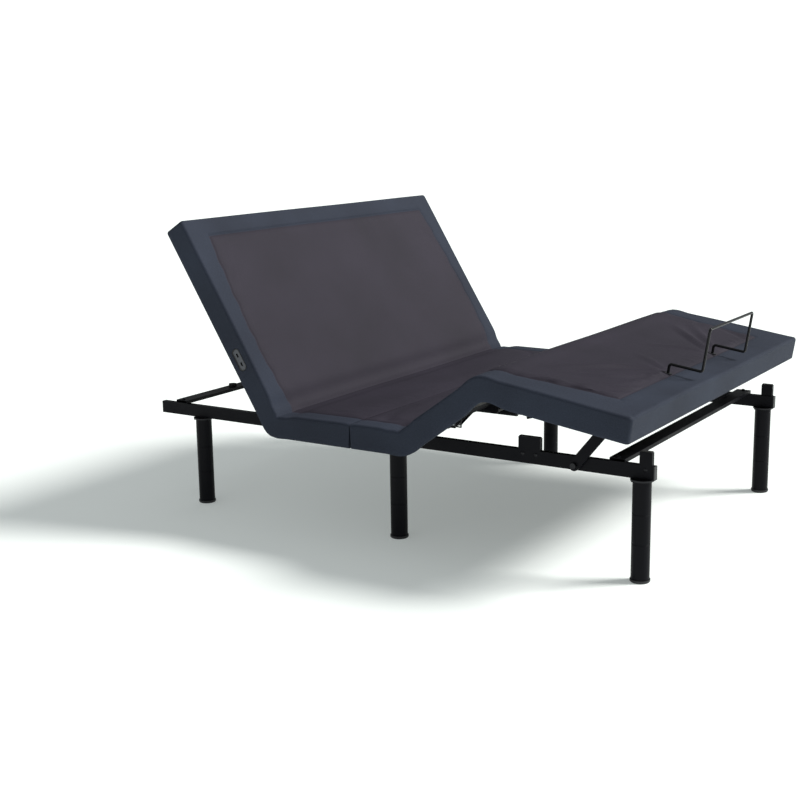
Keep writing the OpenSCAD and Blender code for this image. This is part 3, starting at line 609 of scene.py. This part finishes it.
for side in (-1, 1):
    socket = np.hypot(points[:, 0] - flat_knee - socket_x, points[:, 1] - side * socket_y)
    points = lifted(points, -0.0030 * np.exp(-(socket / 0.022) ** 2) * on_top(points))
    pinch = [(thigh_hinge.x - 0.010, side * 0.757), (thigh_hinge.x - 0.020, side * 0.730),
             (thigh_hinge.x - 0.040, side * 0.650)]
    points = wrinkle(points, pinch, 0.012, -0.0075)
    mitre = [(foot_end_seam, side * 0.607), ((foot_end_seam + foot_end) / 2, side * 0.680),
             (foot_end + 0.06, side * 0.820)]
    points = wrinkle(points, mitre, 0.009, -0.0040)
slow = np.sin(points[:, 0] * 11.0) * np.sin(points[:, 1] * 8.0 + 0.9)
points = lifted(points, 0.0012 * slow * on_top(points))
leg_flat = opened_slit(points, 1)
print("thigh and foot cover sewn")

# %% [markdown]
# ## Folding the covers up
# The head cover is folded once. The other cover is folded at the knee first and then at the thigh
# hinge, like folding a letter from its far end.

# %% Fold the covers
flat_knee_hinge = Vector((flat_knee, 0, thigh_hinge.z))
set_points(head_cover, fold(head_flat, head_hinge, -head_lift, head_fold[1], head_fold[0]))
points = fold(leg_flat, flat_knee_hinge, -knee_bend,
              *fold_span(flat_knee_hinge, 0, -knee_bend, knee_reach))
set_points(leg_cover, fold(points, thigh_hinge, thigh_lift, *thigh_fold))
print("covers folded")

# %% [markdown]
# ## Parting the second cover
# The cover is copied, and each copy is cut at the middle of the thigh panel and closed there. No
# hinge lies near that line, so the two halves stay together in every pose.

# %% Part the second cover
def half_of(piece, name, place, normal, keep_far):
    only(piece)
    bpy.ops.object.duplicate()
    part = bpy.context.active_object
    part.name = name
    editing(part)
    bpy.ops.mesh.select_all(action="SELECT")
    bpy.ops.mesh.bisect(plane_co=place, plane_no=normal, use_fill=True,
                        clear_inner=keep_far, clear_outer=not keep_far)
    done_editing()
    return part


thigh_along = Vector((math.cos(thigh_lift), 0, math.sin(thigh_lift)))
thigh_middle = thigh_hinge + thigh_along * thigh_length * 0.5
thigh_cover = half_of(leg_cover, "thigh_cover", thigh_middle, thigh_along, False)
foot_cover = half_of(leg_cover, "foot_cover", thigh_middle, thigh_along, True)
bpy.data.objects.remove(leg_cover)
print("parted", len(thigh_cover.data.polygons), "and", len(foot_cover.data.polygons), "faces")

# %% [markdown]
# ## Finishes
# Every finish is procedural: one noise for slow patches of colour, and a finer one for the grain
# that a fingertip would feel. The colours stay dark, since the whole bed is black and charcoal.

# %% Finish helpers
def linear(code):
    """A colour code such as 403c48 as the linear values that a shader wants."""
    parts = [int(code[i:i + 2], 16) / 255 for i in (0, 2, 4)]
    return [p / 12.92 if p <= 0.04045 else ((p + 0.055) / 1.055) ** 2.4 for p in parts] + [1]


def add(tree, kind, inputs=None, **settings):
    made = tree.nodes.new(kind)
    for key, value in settings.items():
        setattr(made, key, value)
    for key, value in (inputs or {}).items():
        if isinstance(value, bpy.types.NodeSocket):
            tree.links.new(value, made.inputs[key])
        else:
            made.inputs[key].default_value = value
    return made


def blank(name):
    made = bpy.data.materials.new(name)
    made.use_nodes = True
    return made, made.node_tree, made.node_tree.nodes["Principled BSDF"]


def finish(name, colour, other, roughness, metallic=0.0, patch=9.0, grain=700.0, bump=0.15,
           stretch=(1, 1, 1), shine=0.5):
    made, tree, shader = blank(name)
    place = add(tree, "ShaderNodeTexCoord").outputs["Object"]
    place = add(tree, "ShaderNodeMapping", {"Vector": place, "Scale": stretch}).outputs[0]
    slow = add(tree, "ShaderNodeTexNoise", {"Vector": place, "Scale": patch, "Detail": 4.0})
    fine = add(tree, "ShaderNodeTexNoise", {"Vector": place, "Scale": grain, "Detail": 3.0})
    paint = add(tree, "ShaderNodeMix", {"Factor": slow.outputs["Fac"]}, data_type="RGBA")
    paint.inputs["A"].default_value = linear(colour)
    paint.inputs["B"].default_value = linear(other)
    tree.links.new(paint.outputs["Result"], shader.inputs["Base Color"])
    dull = add(tree, "ShaderNodeMapRange",
               {"Value": slow.outputs["Fac"], "From Min": 0.3, "From Max": 0.7,
                "To Min": roughness * 0.85, "To Max": roughness * 1.15})
    tree.links.new(dull.outputs[0], shader.inputs["Roughness"])
    relief = add(tree, "ShaderNodeBump",
                 {"Height": fine.outputs["Fac"], "Strength": bump, "Distance": 0.0004})
    tree.links.new(relief.outputs[0], shader.inputs["Normal"])
    shader.inputs["Metallic"].default_value = metallic
    shader.inputs["Specular IOR Level"].default_value = shine
    return made


def woven(name, colour, other, pitch, roughness, shine, sheen):
    """A plain weave: two sets of sine ridges across each other, with flecks and slow patches."""
    made, tree, shader = blank(name)
    cloth_place = add(tree, "ShaderNodeUVMap", uv_map="cloth").outputs[0]
    split = add(tree, "ShaderNodeSeparateXYZ", {"Vector": cloth_place})
    threads = []
    for axis in ("X", "Y"):
        turn = add(tree, "ShaderNodeMath", {0: split.outputs[axis], 1: 2 * math.pi / pitch},
                   operation="MULTIPLY")
        threads.append(add(tree, "ShaderNodeMath", {0: turn.outputs[0]}, operation="SINE").outputs[0])
    weave = add(tree, "ShaderNodeMath", {0: threads[0], 1: threads[1]}, operation="MULTIPLY").outputs[0]
    slow = add(tree, "ShaderNodeTexNoise", {"Vector": cloth_place, "Scale": 3.0, "Detail": 3.0})
    fleck = add(tree, "ShaderNodeTexNoise", {"Vector": cloth_place, "Scale": 260.0, "Detail": 2.0})
    both = add(tree, "ShaderNodeMath", {0: fleck.outputs["Fac"], 1: slow.outputs["Fac"]}, operation="ADD")
    share = add(tree, "ShaderNodeMapRange", {"Value": both.outputs[0], "From Min": 0.7, "From Max": 1.3})
    dye = add(tree, "ShaderNodeMix", {"Factor": share.outputs[0]}, data_type="RGBA")
    dye.inputs["A"].default_value = linear(colour)
    dye.inputs["B"].default_value = linear(other)
    tree.links.new(dye.outputs["Result"], shader.inputs["Base Color"])
    height = add(tree, "ShaderNodeMath", {0: fleck.outputs["Fac"], 1: weave}, operation="ADD")
    relief = add(tree, "ShaderNodeBump", {"Height": height.outputs[0], "Strength": 0.25, "Distance": 0.0004})
    tree.links.new(relief.outputs[0], shader.inputs["Normal"])
    shader.inputs["Roughness"].default_value = roughness
    shader.inputs["Specular IOR Level"].default_value = shine
    shader.inputs["Sheen Weight"].default_value = sheen
    shader.inputs["Sheen Roughness"].default_value = 0.45
    return made


print("finish helpers ready")

# %% [markdown]
# ## A finish for every slot
# The CAD pieces carry slot names, and each name gets its finish here. The boards lie hidden under
# the covers, so their dark film is a guess. It also makes a board hard to see wherever a cover
# runs close to it at a crease.

# %% Finishes
finishes = {
    "frame_paint": finish("powder_coat", "09090e", "0e0e14", 0.5, grain=1500, bump=0.25, shine=0.10),
    "leg_paint": finish("leg_coat", "08080d", "0d0d13", 0.42, grain=1500, bump=0.22, shine=0.10),
    "birch_ply": finish("filmed_ply", "1b1714", "27211c", 0.6, patch=14, grain=240, bump=0.3,
                        stretch=(6, 1, 1), shine=0.25),
    "zinc": finish("zinc_plate", "9a9da3", "84878c", 0.35, metallic=1.0, patch=40),
    "bolt_black": finish("bolt_black", "1a1a1d", "26262a", 0.4, metallic=0.6, patch=60),
    "black_rubber": finish("black_rubber", "141414", "1d1d1d", 0.85, patch=30, bump=0.4),
    "black_plastic": finish("black_plastic", "151518", "1e1e22", 0.5, patch=20, grain=1100, bump=0.3),
    "retainer_wire": finish("retainer_wire", "09090b", "101013", 0.35, patch=30, shine=0.3),
    "roller_nylon": finish("roller_nylon", "d8d6cf", "c4c1b8", 0.5, patch=50),
    "ram_steel": finish("ram_steel", "b4b7bb", "9fa2a7", 0.22, metallic=1.0, patch=40, stretch=(0.2, 1, 1)),
    "lead_rubber": finish("lead_rubber", "16161a", "1f1f23", 0.6, patch=60),
}
border_cloth = woven("border_cloth", "262a34", "323845", 0.0016, 0.72, 0.12, 0.01)
middle_cloth = woven("middle_cloth", "232029", "2e2a35", 0.0021, 0.70, 0.20, 0.0)
finishes["panel_fabric"] = border_cloth
for node in frame["nodes"].values():
    for slot in node.material_slots:
        slot.material = finishes[slot.material.name]
print(len(finishes), "finishes given to", len(frame["nodes"]), "CAD pieces")

# %% [markdown]
# ## Two cloths on one cover
# The middle of each cover is a purple-grey cloth, and the border and skirts are blue-grey. The
# cloth map still holds each face's flat place, so it tells which side of the seam a face is on.

# %% Give the covers their cloths
def give_cloths(piece, inside_seam):
    piece.data.materials.clear()
    piece.data.materials.append(border_cloth)
    piece.data.materials.append(middle_cloth)
    places = piece.data.uv_layers["cloth"].data
    for face in piece.data.polygons:
        u = sum(places[i].uv[0] for i in face.loop_indices) / face.loop_total
        v = sum(places[i].uv[1] for i in face.loop_indices) / face.loop_total
        face.material_index = 1 if inside_seam(u, abs(v)) else 0


give_cloths(head_cover, lambda u, v: u > head_end_seam and v < head_side_seam)
for piece in (thigh_cover, foot_cover):
    give_cloths(piece, lambda u, v: u < foot_end_seam and v < foot_side_seam)
for piece in (head_cover, thigh_cover, foot_cover):
    only(piece)
    bpy.ops.object.shade_smooth_by_angle(angle=math.radians(50))
print("cloths given")

# %% [markdown]
# ## The charging port
# A small rounded plate in the head cover's side, with two sockets in a sunken field. A box with
# its short edges bevelled makes the plate, and an inset pushed inwards makes the field. It is
# drawn on the flat panel and then turned up with it.

# %% Charging port
bpy.ops.object.select_all(action="DESELECT")
bpy.ops.mesh.primitive_cube_add(size=1, location=(port_x, 0.00575 - deck_half, port_z))
port = bpy.context.active_object
port.name = "charging_port"
port.scale = (0.076, 0.0110, 0.030)
place_in_mesh(port)
editing(port, "EDGE")
pick_edges(port, lambda a, b: abs(a.y - b.y) > 0.005)
bpy.ops.mesh.bevel(offset=0.012, segments=6)
pick_faces(port, lambda middle, normal: normal.y < -0.9)
bpy.ops.mesh.inset(thickness=0.0022, depth=0)
bpy.ops.mesh.inset(thickness=0.0006, depth=-0.0014)
done_editing()
port.data.materials.append(finish("port_rim", "0b0b0e", "131317", 0.4, patch=20, grain=1100, bump=0.2))
port.data.materials.append(finish("port_field", "45474d", "4f5157", 0.5, patch=30, grain=1100, bump=0.2))
for face in port.data.polygons:
    sunk = face.center.y > 0.001 - deck_half
    face.material_index = 1 if face.normal.y < -0.9 and sunk else 0
for along in (-0.016, 0.016):
    bpy.ops.object.select_all(action="DESELECT")
    bpy.ops.mesh.primitive_cube_add(size=1, location=(port_x + along, -deck_half, port_z))
    socket_cutter = bpy.context.active_object
    socket_cutter.scale = (0.0135, 0.014, 0.0065)
    socket_cutter.data.materials.append(port.data.materials[0])
    place_in_mesh(socket_cutter)
    cut_hole(port, socket_cutter)
set_points(port, turned(get_points(port), head_hinge, -head_lift))
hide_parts("usb_port")
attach(port, "head_panel")
print("charging port has", len(port.data.polygons), "faces")

# %% [markdown]
# ## The mattress retainer
# A wire bent round a former has soft corners. A line of points is extruded along the path, each
# corner point is bevelled into an arc, and the line becomes a curve with a round section, which
# is then turned back into a mesh.

# %% Retainer wire
foot_tilt = thigh_lift - knee_bend
foot_along = Vector((math.cos(foot_tilt), 0, math.sin(foot_tilt)))
foot_out = Vector((-math.sin(foot_tilt), 0, math.cos(foot_tilt)))


def on_foot(x, y, z):
    return knee_hinge + foot_along * x + foot_out * z + Vector((0, y, 0))


wire_end_z = 0.0226
wire_knee_z = 0.060
wire_top_z = 0.195
loop_x = 0.470
half_path = [(socket_x, wire_end_z), (socket_x, wire_knee_z), (loop_x, wire_knee_z), (loop_x, wire_top_z)]
wire_path = [on_foot(x, -socket_y, z) for x, z in half_path]
wire_path += [on_foot(x, socket_y, z) for x, z in reversed(half_path)]
bpy.ops.object.select_all(action="DESELECT")
bpy.ops.mesh.primitive_plane_add(size=0.01, location=wire_path[0])
wire = bpy.context.active_object
wire.name = "retainer_wire"
place_in_mesh(wire)
editing(wire, "VERT")
bpy.ops.mesh.select_all(action="SELECT")
bpy.ops.mesh.merge(type="CENTER")
for a, b in zip(wire_path, wire_path[1:]):
    bpy.ops.mesh.extrude_region_move(TRANSFORM_OT_translate={"value": b - a})
bpy.ops.mesh.select_all(action="SELECT")
bpy.ops.mesh.bevel(offset=0.008, segments=5, affect="VERTICES")
done_editing()
only(wire)
bpy.ops.object.convert(target="CURVE")
wire = bpy.context.active_object
wire.data.bevel_depth = 0.0045
wire.data.bevel_resolution = 5
wire.data.use_fill_caps = True
bpy.ops.object.convert(target="MESH")
wire = bpy.context.active_object
bpy.ops.object.shade_smooth_by_angle(angle=math.radians(50))
wire.data.materials.append(finishes["retainer_wire"])
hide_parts("retainer_bar")
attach(wire, "foot_panel")
print("retainer wire has", len(wire.data.polygons), "faces")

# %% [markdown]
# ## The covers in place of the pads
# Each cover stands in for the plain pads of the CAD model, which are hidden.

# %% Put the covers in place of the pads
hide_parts("head_pad", "seat_pad_head_side")
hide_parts("seat_pad_foot_side", "thigh_pad")
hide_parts("foot_pad")
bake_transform(head_cover)
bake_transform(thigh_cover)
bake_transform(foot_cover)

# %% [markdown]
# ## The studio
# A pale floor that glows a little, a broad sun from behind the foot end, and a weak soft lamp in
# front. The shadow then falls forwards and towards the head, and the near skirts stay dark. The
# world gives a dim even light, and only the backdrop that is seen directly is white.

# %% Floor and light
bpy.ops.object.select_all(action="DESELECT")
bpy.ops.mesh.primitive_plane_add(size=60, location=(0, 0, 0))
floor = bpy.context.active_object
floor.name = "floor"
floor_paint = finish("studio_floor", "e9edeb", "e5eae7", 0.9, patch=0.5, grain=40, bump=0.02, shine=0.1)
floor_glow = floor_paint.node_tree.nodes["Principled BSDF"]
floor_glow.inputs["Emission Color"].default_value = (0.93, 1, 0.97, 1)
floor_glow.inputs["Emission Strength"].default_value = 0.26
floor.data.materials.append(floor_paint)


def soft_light(name, at, look_at, size, power, tint):
    light = bpy.data.lights.new(name, "AREA")
    light.shape = "DISK"
    light.size = size
    light.energy = power
    light.color = tint
    lamp = bpy.data.objects.new(name, light)
    bpy.context.scene.collection.objects.link(lamp)
    lamp.location = at
    lamp.rotation_euler = (Vector(look_at) - Vector(at)).to_track_quat("-Z", "Y").to_euler()


sun_data = bpy.data.lights.new("key", "SUN")
sun_data.energy = 4.2
sun_data.angle = math.radians(22)
sun_data.color = (1, 0.985, 0.965)
sun = bpy.data.objects.new("key", sun_data)
bpy.context.scene.collection.objects.link(sun)
sun.rotation_euler = Vector((-0.57, -0.40, -0.66)).to_track_quat("-Z", "Y").to_euler()
soft_light("fill", (-1.0, -6.0, 4.5), (0, 0, 0.5), 4.0, 10, (0.95, 0.97, 1))
world = bpy.data.worlds.new("studio")
world.use_nodes = True
sky = world.node_tree
lit = sky.nodes["Background"]
lit.inputs["Color"].default_value = (0.93, 0.97, 1, 1)
lit.inputs["Strength"].default_value = 0.30
seen = add(sky, "ShaderNodeBackground", {"Color": (1, 1, 1, 1), "Strength": 1.2})
pick = add(sky, "ShaderNodeMixShader", {0: add(sky, "ShaderNodeLightPath").outputs["Is Camera Ray"],
                                        1: lit.outputs[0], 2: seen.outputs[0]})
sky.links.new(pick.outputs[0], sky.nodes["World Output"].inputs["Surface"])
bpy.context.scene.world = world
bpy.context.scene.view_settings.view_transform = "Standard"
print("studio ready")
